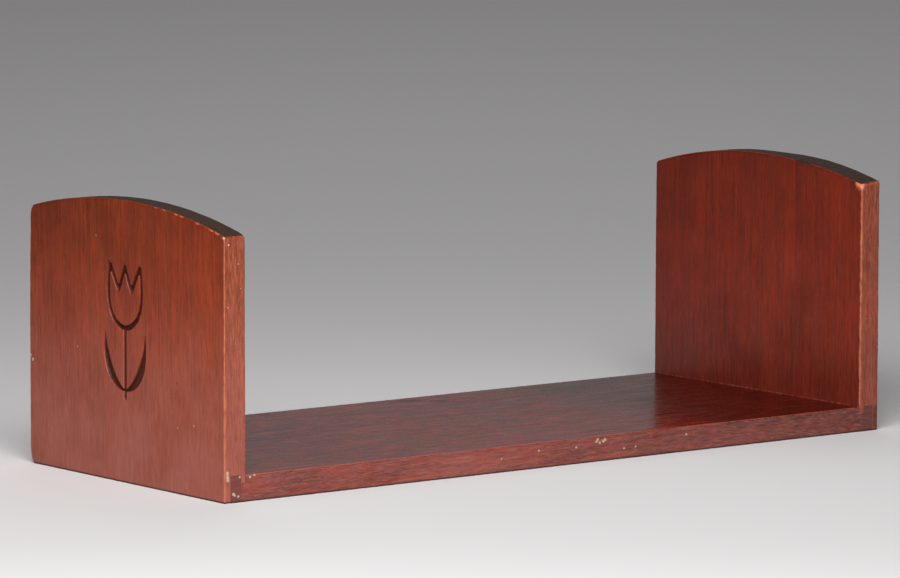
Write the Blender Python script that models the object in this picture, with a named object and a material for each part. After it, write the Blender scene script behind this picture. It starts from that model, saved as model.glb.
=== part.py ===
"""Desktop book rack: a base board between two arched end panels.

Each end panel meets the base board in a lock joint. The panel's outer lip covers the board's end grain, its
inner tongue drops into a groove across the board, and the board's own end rises between the two. Three slotted
wood screws, driven up through the board, hold each panel. The left panel's outer face carries a carved tulip.

Frame: the origin is on the surface that the rack stands on, under its middle. +X runs along the rack, +Y from
front to back, and +Z up.
"""

import math

import bmesh
import bpy

MM = 0.001

# Driving dimensions
LENGTH = 424 * MM  # over the outer faces of the two end panels
DEPTH = 170 * MM  # front to back
SHOULDER_HEIGHT = 131.0 * MM  # of an end panel at its front and back edges
ARCH_RISE = 10.6 * MM  # from the shoulders to the crown
PANEL_THICKNESS = 12.7 * MM
BOARD_THICKNESS = 13.2 * MM
LIP_THICKNESS = 3.7 * MM  # the panel's outer lip, which hides the board's end grain
TONGUE_THICKNESS = 2.8 * MM  # the panel's inner tongue
TONGUE_DEPTH = 4.0 * MM  # how far the tongue drops below the board's top face
GAP = 0.3 * MM  # between neighbouring solids
ARRIS = 0.7 * MM  # width of the softened long edges

# Slotted countersunk wood screws
SCREW_LENGTH = 30 * MM
SHANK_RADIUS = 1.4 * MM
HEAD_RADIUS = 2.7 * MM
HEAD_TAPER = 1.6 * MM  # height of the countersunk cone
HEAD_RIM = 0.3 * MM  # the cylindrical edge below the cone
HEAD_SINK = 0.4 * MM  # how far the head sits above the board's underside
THREAD_CORE_RADIUS = 0.95 * MM
THREAD_LENGTH = 18 * MM
POINT_LENGTH = 3 * MM
SLOT_WIDTH = 0.7 * MM
SLOT_DEPTH = 0.8 * MM
SCREW_INSET = 3.5 * MM  # from the board's end to the screw's axis
SCREW_ROWS = {"front": -60 * MM, "middle": 0.0, "rear": 60 * MM}
ROUND_SIDES = 24

# Carved tulip, centred on the left panel's outer face
CARVING_BOTTOM = 43 * MM
CARVING_DEPTH = 1.6 * MM
STROKE_WIDTH = 2.8 * MM

ARCH_STATIONS = 32
HALF_LENGTH = LENGTH / 2
HALF_DEPTH = DEPTH / 2
BOARD_END = HALF_LENGTH - LIP_THICKNESS - GAP
SCREW_X = BOARD_END - SCREW_INSET

STAIN = {"panel": (0.23, 0.052, 0.025, 1), "board": (0.15, 0.035, 0.02, 1)}
WOOD_ROUGHNESS = 0.38
BRASS = (0.55, 0.38, 0.16, 1)
BRASS_ROUGHNESS = 0.35


def clear_scene():
    """Empties the scene, so that only the rack is left in it."""
    for leftover in list(bpy.data.objects):
        bpy.data.objects.remove(leftover)


def make_material(name, color, roughness, metallic=0.0):
    """A Principled material with one colour."""
    material = bpy.data.materials.new(name)
    material.use_nodes = True
    shader = material.node_tree.nodes["Principled BSDF"]
    shader.inputs["Base Color"].default_value = color
    shader.inputs["Roughness"].default_value = roughness
    shader.inputs["Metallic"].default_value = metallic
    return material


def add_object(name, mesh, parent=None, material=None):
    """Links a mesh to the scene as a named object."""
    obj = bpy.data.objects.new(name, mesh)
    bpy.context.scene.collection.objects.link(obj)
    obj.parent = parent
    if material and not mesh.materials:
        mesh.materials.append(material)
    return obj


def add_cutter(name, mesh):
    """A shape that only cuts others: drawn as wire, and left out of renders."""
    cutter = add_object(name, mesh)
    cutter.hide_render = True
    cutter.display_type = "WIRE"
    return cutter


def cut(obj, cutter):
    """Takes the cutter's shape out of the object."""
    boolean = obj.modifiers.new("cut " + cutter.name, "BOOLEAN")
    boolean.operation = "DIFFERENCE"
    boolean.solver = "EXACT"
    boolean.object = cutter


def mesh_of(name, bm):
    """Turns a bmesh into a mesh whose faces point outwards."""
    bmesh.ops.recalc_face_normals(bm, faces=bm.faces)
    mesh = bpy.data.meshes.new(name)
    bm.to_mesh(mesh)
    bm.free()
    return mesh


def loft(name, sections):
    """A closed mesh through sections that have the same number of corners, capped at both ends."""
    bm = bmesh.new()
    rings = [[bm.verts.new(corner) for corner in section] for section in sections]
    for ring, following in zip(rings, rings[1:]):
        for i in range(len(ring)):
            j = (i + 1) % len(ring)
            bm.faces.new((ring[i], ring[j], following[j], following[i]))
    bm.faces.new(rings[0])
    bm.faces.new(rings[-1])
    return mesh_of(name, bm)


def turned(name, profile):
    """A solid turned about Z from (radius, height) points, whose first and last points lie on the axis."""
    bm = bmesh.new()
    points = [bm.verts.new((radius, 0, height)) for radius, height in profile]
    edges = [bm.edges.new(pair) for pair in zip(points, points[1:])]
    bmesh.ops.spin(
        bm, geom=points + edges, cent=(0, 0, 0), axis=(0, 0, 1), angle=math.tau, steps=ROUND_SIDES
    )
    bmesh.ops.remove_doubles(bm, verts=bm.verts, dist=1e-6)
    return mesh_of(name, bm)


def arch_height(y):
    """Height of an end panel's top edge at y: a circular arc through both shoulders and the crown."""
    radius = (HALF_DEPTH**2 + ARCH_RISE**2) / (2 * ARCH_RISE)
    return SHOULDER_HEIGHT + ARCH_RISE - radius + math.sqrt(radius**2 - y**2)


def soften(obj, is_long_edge):
    """Takes the sharpness off the edges that is_long_edge picks, with a narrow flat."""
    weights = obj.data.attributes.new("bevel_weight_edge", "FLOAT", "EDGE")
    vertices = obj.data.vertices
    for edge in obj.data.edges:
        start, end = (vertices[i].co for i in edge.vertices)
        weights.data[edge.index].value = float(is_long_edge(start, end))
    bevel = obj.modifiers.new("arris", "BEVEL")
    bevel.limit_method = "WEIGHT"
    bevel.width = ARRIS
    bevel.segments = 1


def build_end_panel(name, side, parent, material):
    """An arched end panel with its lip and tongue. side is -1 for the left panel and 1 for the right one."""
    outer = HALF_LENGTH
    lip_inside = outer - LIP_THICKNESS
    inner = outer - PANEL_THICKNESS
    tongue_outside = inner + TONGUE_THICKNESS
    seat = BOARD_THICKNESS + GAP
    tongue_foot = BOARD_THICKNESS - TONGUE_DEPTH + GAP
    foot_profile = [
        (inner, tongue_foot),
        (tongue_outside, tongue_foot),
        (tongue_outside, seat),
        (lip_inside, seat),
        (lip_inside, 0),
        (outer, 0),
    ]
    sections = []
    for station in range(ARCH_STATIONS + 1):
        y = -HALF_DEPTH + DEPTH * station / ARCH_STATIONS
        corners = foot_profile + [(outer, arch_height(y)), (inner, arch_height(y))]
        sections.append([(side * x, y, z) for x, z in corners])
    panel = add_object(name, loft(name, sections), parent, material)

    def is_visible_arris(start, end):
        along_top = min(start.z, end.z) >= SHOULDER_HEIGHT - GAP and abs(start.x - end.x) < GAP
        upright = abs(start.z - end.z) > SHOULDER_HEIGHT / 2
        return along_top or upright

    soften(panel, is_visible_arris)
    return panel


def build_base_board(parent, material):
    """The board, with a groove across each end for a panel's tongue."""
    top = BOARD_THICKNESS
    groove_floor = top - TONGUE_DEPTH
    groove_inside = HALF_LENGTH - PANEL_THICKNESS - GAP
    groove_outside = HALF_LENGTH - PANEL_THICKNESS + TONGUE_THICKNESS + GAP
    right_end = [
        (BOARD_END, 0),
        (BOARD_END, top),
        (groove_outside, top),
        (groove_outside, groove_floor),
        (groove_inside, groove_floor),
        (groove_inside, top),
    ]
    left_end = [(-x, z) for x, z in reversed(right_end)]
    profile = right_end + left_end
    sections = [[(x, y, z) for x, z in profile] for y in (-HALF_DEPTH, HALF_DEPTH)]
    board = add_object("base_board", loft("base_board", sections), parent, material)

    def is_long_arris(start, end):
        return abs(start.x - end.x) > LENGTH / 2

    soften(board, is_long_arris)
    return board


def screw_profile(clearance=0.0):
    """(radius, height) points of a screw from its head's flat face to its point, grown by a clearance."""
    cone_top = HEAD_RIM + HEAD_TAPER
    thread_start = SCREW_LENGTH - THREAD_LENGTH
    point_start = SCREW_LENGTH - POINT_LENGTH
    return [
        (0, -clearance),
        (HEAD_RADIUS + clearance, -clearance),
        (HEAD_RADIUS + clearance, HEAD_RIM),
        (SHANK_RADIUS + clearance, cone_top),
        (SHANK_RADIUS + clearance, thread_start),
        (THREAD_CORE_RADIUS + clearance, thread_start + SHANK_RADIUS),
        (THREAD_CORE_RADIUS + clearance, point_start),
        (0, SCREW_LENGTH + clearance),
    ]


def hole_profile():
    """(radius, height) points of a screw's hole: countersink, clearance hole and pilot hole."""
    below = HEAD_SINK + GAP  # the countersink is open below
    profile = screw_profile(GAP)
    return [(0, -below), (HEAD_RADIUS + GAP, -below)] + profile[2:]


def slot_cutter(name, place):
    """The bar that cuts a screwdriver slot in one screw's head."""
    bm = bmesh.new()
    bmesh.ops.create_cube(bm, size=1)
    size = (3 * HEAD_RADIUS, SLOT_WIDTH, 2 * SLOT_DEPTH)
    bmesh.ops.scale(bm, vec=size, verts=bm.verts)
    cutter = add_cutter(name, mesh_of(name, bm))
    cutter.location = place
    return cutter


def build_screw(name, place, slot_angle, mesh, parent):
    """One wood screw, head down, with a slot across its head."""
    screw = add_object(name, mesh, parent)
    screw.location = place
    slot = slot_cutter(name + "_slot", place)
    slot.rotation_euler.z = slot_angle
    cut(screw, slot)
    return screw


def build_screws(side, side_name, board, panel, meshes, parent):
    """The three screws of one end, and their holes through the board and into the panel."""
    for row, (row_name, y) in enumerate(SCREW_ROWS.items()):
        name = f"{side_name}_screw_{row_name}"
        place = (side * SCREW_X, y, HEAD_SINK)
        build_screw(name, place, side * (0.5 + 0.9 * row), meshes["screw"], parent)
        hole = add_cutter(name + "_hole", meshes["hole"])
        hole.location = place
        cut(board, hole)
        cut(panel, hole)


def bend(start, control, end, count=8):
    """Points along the curve from start to end that leans towards control."""
    points = []
    for i in range(count + 1):
        t = i / count
        weights = ((1 - t) ** 2, 2 * t * (1 - t), t**2)
        points.append(
            tuple(sum(w * p[axis] for w, p in zip(weights, (start, control, end))) for axis in (0, 1))
        )
    return points


def tulip_strokes():
    """(name, centre line in mm, is it a leaf) of each stroke, from the middle of the stem's foot."""
    strokes = [
        ("stem", [(0, 0), (0, 34)], False),
        ("petal_peak", [(-5.6, 53.5), (0, 65), (5.6, 53.5)], False),
    ]
    for hand, word in ((-1, "front"), (1, "back")):
        side_petal = bend((0, 34.5), (hand * 19, 37), (hand * 13, 66))
        rim = [(hand * 13, 66), (hand * 5.6, 53.5)]
        leaf = bend((0, 3), (hand * 17, 8), (hand * 17.5, 32), 12)
        strokes.append((f"petal_{word}", side_petal, False))
        strokes.append((f"rim_{word}", rim, False))
        strokes.append((f"leaf_{word}", leaf, True))
    return strokes


def stroke_outline(line, is_leaf):
    """The closed outline of a stroke. A leaf swells in its middle, and any other stroke keeps its width."""
    left, right = [], []
    for i, (u, v) in enumerate(line):
        before, after = line[max(i - 1, 0)], line[min(i + 1, len(line) - 1)]
        along = (after[0] - before[0], after[1] - before[1])
        length = math.hypot(*along)
        normal = (-along[1] / length, along[0] / length)
        width = STROKE_WIDTH / MM
        if is_leaf:
            width *= 0.25 + 1.8 * math.sin(math.pi * i / (len(line) - 1))
        left.append((u + normal[0] * width / 2, v + normal[1] * width / 2))
        right.append((u - normal[0] * width / 2, v - normal[1] * width / 2))
    return left + right[::-1]


def carve_tulip(panel):
    """Cuts the tulip into the left panel's outer face, each stroke with a flat floor."""
    outside = -HALF_LENGTH - 2 * CARVING_DEPTH
    floor = -HALF_LENGTH + CARVING_DEPTH
    for name, line, is_leaf in tulip_strokes():
        outline = stroke_outline(line, is_leaf)
        sections = [[(x, u * MM, CARVING_BOTTOM + v * MM) for u, v in outline] for x in (outside, floor)]
        cut(panel, add_cutter("carved_" + name, loft("carved_" + name, sections)))


def build_rack():
    """Builds every piece of the rack under one empty."""
    rack = add_object("book_rack", None)
    panel_wood = make_material("stained_panel_wood", STAIN["panel"], WOOD_ROUGHNESS)
    board_wood = make_material("stained_board_wood", STAIN["board"], WOOD_ROUGHNESS)
    brass = make_material("screw_brass", BRASS, BRASS_ROUGHNESS, 1.0)
    meshes = {"screw": turned("wood_screw", screw_profile()), "hole": turned("screw_hole", hole_profile())}
    meshes["screw"].materials.append(brass)
    meshes["screw"].shade_smooth()
    meshes["screw"].set_sharp_from_angle(angle=math.radians(30))

    board = build_base_board(rack, board_wood)
    panels = {}
    for side, side_name in ((-1, "left"), (1, "right")):
        panels[side] = build_end_panel(f"{side_name}_end_panel", side, rack, panel_wood)
        build_screws(side, side_name, board, panels[side], meshes, rack)
    carve_tulip(panels[-1])


clear_scene()
build_rack()
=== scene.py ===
"""The looks of a desktop book rack: three stained boards, their joints, screws and a carved tulip.

Every board is the skin of a lattice of cells. The lattice's lines lie close together along the arrises
and the joints, its cells are solid or empty, and the skin is the quads between the two. A rule then
rounds the arrises and corners, knocks chips out of them and carves the left panel, for all corners of
the lattice at once.
"""

import math

import bpy
import numpy as np
from mathutils import Matrix, Vector


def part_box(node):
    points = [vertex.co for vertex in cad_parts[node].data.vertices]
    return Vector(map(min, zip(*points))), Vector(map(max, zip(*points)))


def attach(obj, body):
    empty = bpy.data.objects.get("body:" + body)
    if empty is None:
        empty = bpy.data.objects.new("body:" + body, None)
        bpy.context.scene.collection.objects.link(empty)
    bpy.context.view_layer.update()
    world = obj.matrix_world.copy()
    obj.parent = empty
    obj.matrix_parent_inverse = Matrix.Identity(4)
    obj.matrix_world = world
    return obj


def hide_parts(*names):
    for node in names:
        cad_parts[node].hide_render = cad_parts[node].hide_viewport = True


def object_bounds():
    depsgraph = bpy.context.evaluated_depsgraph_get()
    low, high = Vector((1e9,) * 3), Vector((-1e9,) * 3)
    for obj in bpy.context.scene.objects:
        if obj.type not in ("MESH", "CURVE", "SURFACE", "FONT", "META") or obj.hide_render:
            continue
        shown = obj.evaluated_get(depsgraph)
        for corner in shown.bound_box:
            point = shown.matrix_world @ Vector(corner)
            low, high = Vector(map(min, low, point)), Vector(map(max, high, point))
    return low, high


bl_info = {
    "name": "Desktop Book Rack",
    "version": (1, 0, 0),
    "blender": (4, 5, 0),
    "location": "View3D > Sidebar > Book Rack",
    "description": "Builds a stained and worn desktop book rack around its packed frame",
    "category": "Object",
}

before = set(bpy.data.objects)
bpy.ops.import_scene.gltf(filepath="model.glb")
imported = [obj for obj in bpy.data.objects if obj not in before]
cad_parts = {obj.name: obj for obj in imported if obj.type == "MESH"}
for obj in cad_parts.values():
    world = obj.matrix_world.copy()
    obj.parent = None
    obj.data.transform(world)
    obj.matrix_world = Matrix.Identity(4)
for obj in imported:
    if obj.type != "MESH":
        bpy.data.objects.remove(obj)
CAD_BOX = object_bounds()
MM = 0.001

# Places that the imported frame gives
HALF_LENGTH = CAD_BOX[1].x
HALF_DEPTH = CAD_BOX[1].y
CROWN = CAD_BOX[1].z
BOARD_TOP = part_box("base_board")[1].z
CAD_BOARD_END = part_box("base_board")[1].x
PANEL_THICKNESS = HALF_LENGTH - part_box("right_end_panel")[0].x

# Sizes that the frame's pieces were drawn with
CAD_GAP = 0.3 * MM
ARCH_RISE = 10.6 * MM
TONGUE_THICKNESS = 2.8 * MM
TONGUE_DEPTH = 4.0 * MM
LIP_THICKNESS = HALF_LENGTH - CAD_BOARD_END - CAD_GAP
SHOULDER = CROWN - ARCH_RISE
ARCH_RADIUS = (HALF_DEPTH**2 + ARCH_RISE**2) / (2 * ARCH_RISE)
CARVING_BOTTOM = 43 * MM
SCREW_ROWS = (-60 * MM, 0.0, 60 * MM)
SCREW_X = CAD_BOARD_END - 3.5 * MM
SCREW_TIP = 30.7 * MM  # height that the pilot bores reach
BORE_STEPS = np.array((-2.2, -1.65, -1.1, -0.55, 0, 0.55, 1.1, 1.65, 2.2)) * MM  # lattice lines over a screw

# Lattice spacing
EDGE_STEPS = np.array((0, 0.12, 0.3, 0.55, 0.9, 1.4)) * MM  # from an arris inwards
CARVED_STEP = 1.8 * MM  # coarse cells behind the carving
CARVED_FINENESS = 8  # fine cells to one coarse cell
CARVED_COLUMNS = 24
CARVED_ROWS = 36
CARVED_FOOT = 38.4 * MM
LEVEL_BELOW = 20 * MM  # lattice rows are level up to here, and follow the arch above
SEAM_STEP = 0.15 * MM  # lattice lines lie this close on both sides of a joint's corner
BORE_REACH = 2.3 * MM  # half the side of the square of skin that a bore's mouth replaces


class RackSizes(bpy.types.PropertyGroup):
    """Sizes of the details that the frame leaves plain."""

    arris: bpy.props.FloatProperty(
        name="Arris", description="Usual radius of a worn upright edge",
        default=0.55 * MM, unit="LENGTH",
    )
    top_arris: bpy.props.FloatProperty(
        name="Top arris", description="Radius of a panel's arched edges",
        default=0.95 * MM, unit="LENGTH",
    )
    foot_arris: bpy.props.FloatProperty(
        name="Foot arris", description="Radius of the edges that touch the desk",
        default=0.7 * MM, unit="LENGTH",
    )
    joint: bpy.props.FloatProperty(
        name="Joint line", description="Width of the glue line in a joint",
        default=0.14 * MM, unit="LENGTH",
    )
    stroke: bpy.props.FloatProperty(
        name="Carved stroke", description="Width of the carving's strokes",
        default=2.8 * MM, unit="LENGTH",
    )
    carved_depth: bpy.props.FloatProperty(
        name="Carved depth", description="Depth of the carving's floor",
        default=1.6 * MM, unit="LENGTH",
    )


class RackColours(bpy.types.PropertyGroup):
    """Colours of the finishes and of the stage."""

    panel: bpy.props.FloatVectorProperty(
        name="Panel stain", description="Stained wood of the end panels", subtype="COLOR",
        default=(0.25, 0.0305, 0.0055), min=0, max=1,
    )
    right_panel: bpy.props.FloatVectorProperty(
        name="Right panel stain", description="The right panel's darker board", subtype="COLOR",
        default=(0.15, 0.0105, 0.0009), min=0, max=1,
    )
    panel_edge: bpy.props.FloatVectorProperty(
        name="Panel edge", description="Front and back edges of the end panels", subtype="COLOR",
        default=(0.235, 0.054, 0.029), min=0, max=1,
    )
    board: bpy.props.FloatVectorProperty(
        name="Board stain", description="Stained wood of the base board", subtype="COLOR",
        default=(0.082, 0.0034, 0.0008), min=0, max=1,
    )
    board_edge: bpy.props.FloatVectorProperty(
        name="Board edge", description="Front and back edges of the base board", subtype="COLOR",
        default=(0.18, 0.048, 0.038), min=0, max=1,
    )
    worn: bpy.props.FloatVectorProperty(
        name="Worn wood", description="Wood where handling has thinned the stain", subtype="COLOR",
        default=(0.43, 0.125, 0.055), min=0, max=1,
    )
    board_worn: bpy.props.FloatVectorProperty(
        name="Worn board", description="Thinned stain on the base board's edges", subtype="COLOR",
        default=(0.42, 0.085, 0.06), min=0, max=1,
    )
    # At half strength this colour also paints the contact shadow along the foot.
    end_grain_and_contact_shadow: bpy.props.FloatVectorProperty(
        name="End grain", description="End grain, which drinks the stain", subtype="COLOR",
        default=(0.034, 0.014, 0.009), min=0, max=1,
    )
    filler: bpy.props.FloatVectorProperty(
        name="Filler", description="Pale filler and bare specks", subtype="COLOR",
        default=(0.50, 0.41, 0.31), min=0, max=1,
    )
    brass: bpy.props.FloatVectorProperty(
        name="Screws", description="Aged brass of the screws", subtype="COLOR",
        default=(0.55, 0.38, 0.16), min=0, max=1,
    )
    floor: bpy.props.FloatVectorProperty(
        name="Floor", description="Pale paper that the rack stands on", subtype="COLOR",
        default=(0.655, 0.652, 0.66), min=0, max=1,
    )


def sizes():
    """The sizes that the panel in the sidebar shows."""
    return bpy.context.scene.rack_sizes


def colours():
    """The colours that the panel in the sidebar shows."""
    return bpy.context.scene.rack_colours


# ---- Surfaces ----


def arch(y):
    """Height of a panel's top at depth y: the circle through both shoulders and the crown."""
    return CROWN - ARCH_RADIUS + np.sqrt(ARCH_RADIUS**2 - np.square(y))


def lines(*groups):
    """Sorted lattice lines from groups of places, with doubles left out."""
    places = np.unique(np.round(np.concatenate([np.atleast_1d(g) for g in groups]), 7))
    return places[np.insert(np.diff(places) > 0.05 * MM, 0, True)]


def even(start, stop, step):
    """Evenly spaced lines from start to stop, no further apart than step."""
    return np.linspace(start, stop, max(2, int(math.ceil((stop - start) / step)) + 1))


def joint_lines(place):
    """A line, and one close by on either side of it, for a joint's corner."""
    return place + np.array((-SEAM_STEP, 0, SEAM_STEP))


def graded(start, stop, step):
    """Lines from start to stop that crowd towards both ends, where the arrises are."""
    last = EDGE_STEPS[-1]
    return lines(start + EDGE_STEPS, even(start + last, stop - last, step), stop - EDGE_STEPS)


def waver(place, length, seed):
    """A gentle wander between -1 and 1: the mean of three sines, whose phases the seed draws."""
    phases = np.random.default_rng(seed).uniform(0, math.tau, 3)
    pairs = zip((1, 1.83, 3.1), phases)
    waves = [np.sin(place / length * ratio * math.tau + phase) for ratio, phase in pairs]
    return sum(waves) / 3


def smooth_step(start, stop, value):
    """0 before start and 1 after stop, with a smooth rise of 3t^2 - 2t^3 between."""
    t = np.clip((value - start) / (stop - start), 0, 1)
    return t * t * (3 - 2 * t)


def skin(solid):
    """Quads between a lattice's solid and empty cells, as flat corner numbers, facing the empty side.

    Along each axis the cells are subtracted from their neighbours. Where the difference is -1 or 1, the
    four corners that the two cells share make a quad, turned round for 1.
    """
    stride = np.array([(solid.shape[1] + 1) * (solid.shape[2] + 1), solid.shape[2] + 1, 1])
    padded = np.pad(solid, 1).astype(np.int8)
    quads = []
    for axis in range(3):
        along, across = stride[(axis + 1) % 3], stride[(axis + 2) % 3]
        change = np.diff(padded, axis=axis)
        for sign in (-1, 1):
            cell = np.argwhere(change == sign) - 1
            cell[:, axis] += 1
            base = cell @ stride
            corners = np.stack([base, base + along, base + along + across, base + across], 1)
            quads.append(corners[:, ::sign * -1])
    return np.concatenate(quads)


def compact(points, faces):
    """Leaves out the points that no face uses, and numbers the faces again."""
    used = np.unique(np.concatenate([f.ravel() for f in faces]))
    renumber = np.zeros(len(points), np.int64)
    renumber[used] = np.arange(len(used))
    return points[used], [renumber[f] for f in faces], used


def make_piece(name, points, faces, attributes, material, node):
    """A smooth-shaded mesh object from points, arrays of faces and named numbers for its points."""
    mesh = bpy.data.meshes.new(name)
    corner_lists = [face for array in faces for face in array.tolist()]
    mesh.from_pydata(points.tolist(), [], corner_lists)
    for label, values in attributes.items():
        attribute = mesh.attributes.new(label, "FLOAT", "POINT")
        attribute.data.foreach_set("value", values.astype(np.float32))
    mesh.shade_smooth()
    mesh.set_sharp_from_angle(angle=math.radians(42))
    mesh.materials.append(material)
    obj = bpy.data.objects.new(name, mesh)
    bpy.context.scene.collection.objects.link(obj)
    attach(obj, "root")
    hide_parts(node)


def round_square(a, b):
    """Pulls the square corner between two insets onto a circle: (a, b) keeps its direction, and
    takes the length of its larger part."""
    length = np.hypot(a, b)
    scale = np.divide(np.maximum(a, b), length, out=np.ones_like(length), where=length > 1e-12)
    return a * scale, b * scale


# ---- The carved tulip ----


def bend(start, control, end, count=8):
    """Points on the curve (1-t)^2 start + 2t(1-t) control + t^2 end."""
    t = np.linspace(0, 1, count + 1)[:, None]
    return (1 - t) ** 2 * np.array(start) + 2 * t * (1 - t) * np.array(control) + t**2 * np.array(end)


def tulip():
    """(centre line in mm from the foot of the stem, is it a leaf) of each carved stroke."""
    stem, tooth = np.array([(0, 0), (0, 34)]), np.array([(-5.6, 53.5), (0, 65), (5.6, 53.5)])
    strokes = [(stem, False), (tooth, False)]
    for hand in (-1, 1):
        strokes.append((bend((0, 34.5), (hand * 19, 37), (hand * 13, 66)), False))
        strokes.append((np.array([(hand * 13, 66), (hand * 5.6, 53.5)]), False))
        strokes.append((bend((0, 3), (hand * 17, 8), (hand * 17.5, 32), 12), True))
    return strokes


def carved_depth(y, z):
    """Depth of the carving at points of the outer face.

    Each stroke is a chain of tapering rods: a point's distance to it is its distance to the nearest
    rod's line, less the rod's half width there. The depth rises from 0 at the outline to the floor's
    over a steep, short wall, and the floor keeps slight gouge marks.
    """
    point = np.stack([y, z - CARVING_BOTTOM], -1) / MM
    distance = np.full(y.shape, 1e3)
    for line, is_leaf in tulip():
        share = np.linspace(0, 1, len(line))
        half = np.full(len(line), sizes().stroke / MM / 2)
        if is_leaf:
            half = half * (0.25 + 1.8 * np.sin(math.pi * share))
        for a, b, half_a, half_b in zip(line, line[1:], half, half[1:]):
            along = b - a
            t = np.clip((point - a) @ along / (along @ along), 0, 1)
            gap = np.linalg.norm(point - a - t[..., None] * along, axis=-1)
            distance = np.minimum(distance, gap - half_a - t * (half_b - half_a))
    gouges = 0.04 * waver(z + 0.4 * y, 9 * MM, 5) * MM
    return smooth_step(-0.03, 0.36, -distance) * (sizes().carved_depth + gouges)


# ---- The end panels ----


def run_of(seed, count, first, last, spread=0.0):
    """Rows of numbers for marks along a run: even steps from the first row to the last, each shifted
    along the run by up to 0.4 of a step and off it by up to the spread, from a seeded draw."""
    draw = np.random.default_rng(seed)
    steps = (np.arange(count) + 0.5 + draw.uniform(-0.4, 0.4, count)) / count
    rows = np.asarray(first) + np.outer(steps, np.subtract(last, first))
    return (rows + np.asarray(spread) * draw.uniform(-1, 1, rows.shape)).tolist()


# Chips in the arched edges: how far in from the outer face, y, drop below the arch, reach and depth, in mm
INNER_FACE = PANEL_THICKNESS / MM
LEFT_CHIPS = (
    *run_of(21, 7, (0, -20, 0, 1.4, 0.35), (0, -84, 0, 2.2, 0.5)),
    *run_of(22, 2, (INNER_FACE, -20, 0, 1.6, 0.4), (INNER_FACE, 45, 0, 2.4, 0.5)),
)
RIGHT_CHIPS = (
    *run_of(23, 4, (INNER_FACE, -30, 0, 2.6, 0.7), (INNER_FACE, -45, 0, 2.0, 0.4)),
    (0, 10, 0, 1.8, 0.4),
)


# How the two panels differ. Their outlines were shaped one by one: "lean" lifts the arch's back, "bow" draws
# the back edge in towards its top and "tilt" raises the arch's outer side. "front_top", "back_top" and
# "back_foot" are the reaches of the corners' rounding, along y and z. "nub" is how bare the inner corner at
# the front's top is rubbed; where it passes 1 the finish also paints a highlight there. "chip_wear" says
# whether chips show worn wood (1) or end grain (0).
LEFT_LOOK = {
    "carved": True, "lean": 0.8 * MM, "bow": 1.2 * MM,
    "front_top": 2.2 * MM, "back_top": (2.8 * MM, 4.8 * MM), "back_foot": (3.5 * MM, 10 * MM),
    "outer_wear": 0.85 * MM, "inner_wear": 0.5 * MM, "nub": 0.0,
    "tilt": 0.0, "chips": LEFT_CHIPS, "chip_wear": 1.0,
}
RIGHT_LOOK = {
    "carved": False, "lean": -1.0 * MM, "bow": 0.3 * MM,
    "front_top": 1.3 * MM, "back_top": (1.2 * MM, 2.0 * MM), "back_foot": (1.5 * MM, 2 * MM),
    "outer_wear": 0.4 * MM, "inner_wear": 1.3 * MM, "nub": 1.4,
    "tilt": 1.5 * MM, "chips": RIGHT_CHIPS, "chip_wear": 0.0,
}


def panel_lattice(side, carved):
    """Lattice lines of a panel: x across its thickness, y along its depth and z up."""
    inner = PANEL_THICKNESS
    tongue = inner - TONGUE_THICKNESS
    screw = HALF_LENGTH - SCREW_X
    across = lines(
        EDGE_STEPS, 2.2 * MM, LIP_THICKNESS + np.array((-0.9 * MM, -SEAM_STEP, 0, SEAM_STEP)),
        screw + np.arange(-2, 3) * MM, LIP_THICKNESS + 0.9 * MM,
        joint_lines(tongue), tongue + 0.7 * MM, inner - EDGE_STEPS,
    )
    x = np.sort(side * (HALF_LENGTH - across))
    half_width = CARVED_COLUMNS * CARVED_STEP / 2
    middle = even(-half_width, half_width, CARVED_STEP)
    outer = even(half_width, HALF_DEPTH - EDGE_STEPS[-1], 0.9 * MM if carved else 1.2 * MM)
    y = lines(middle, outer, -outer, HALF_DEPTH - EDGE_STEPS, EDGE_STEPS - HALF_DEPTH)
    seat, foot = BOARD_TOP + sizes().joint, BOARD_TOP - TONGUE_DEPTH + sizes().joint
    carved_top = CARVED_FOOT + CARVED_ROWS * CARVED_STEP
    z = lines(
        EDGE_STEPS, even(1.4 * MM, foot - 1 * MM, 2.2 * MM),
        joint_lines(foot), foot + 1.5 * MM,
        seat + np.array((-1 * MM, -SEAM_STEP, 0, SEAM_STEP, 0.9 * MM)),
        even(seat + 2 * MM, CARVED_FOOT, 2.4 * MM),
        even(CARVED_FOOT, carved_top, CARVED_STEP), even(carved_top, SHOULDER - EDGE_STEPS[-1], 2.4 * MM),
        SHOULDER - EDGE_STEPS,
    )
    return x, y, z


def panel_solid(x, y, z):
    """Which cells of a panel's lattice are solid: its full thickness above the joint, and its lip
    and tongue."""
    depth_in = (HALF_LENGTH - np.abs((x[1:] + x[:-1]) / 2))[:, None, None]
    height = ((z[1:] + z[:-1]) / 2)[None, None, :]
    lip = depth_in < LIP_THICKNESS
    above = height > BOARD_TOP + sizes().joint
    tongue = height > BOARD_TOP - TONGUE_DEPTH + sizes().joint
    tongue = tongue & (depth_in > PANEL_THICKNESS - TONGUE_THICKNESS)
    return (lip | tongue | above) & np.ones((1, len(y) - 1, 1), bool)


def stretched(y, z, lean):
    """Height of a lattice row at depth y: level near the floor, and stretched above to reach the
    arch, whose back is lifted by up to the lean, with the square of y."""
    top = arch(y) + lean * np.square(np.clip(y / HALF_DEPTH, 0, 1))
    share = (top - LEVEL_BELOW) / (SHOULDER - LEVEL_BELOW)
    return np.where(z > LEVEL_BELOW, LEVEL_BELOW + (z - LEVEL_BELOW) * share, z)


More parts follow.
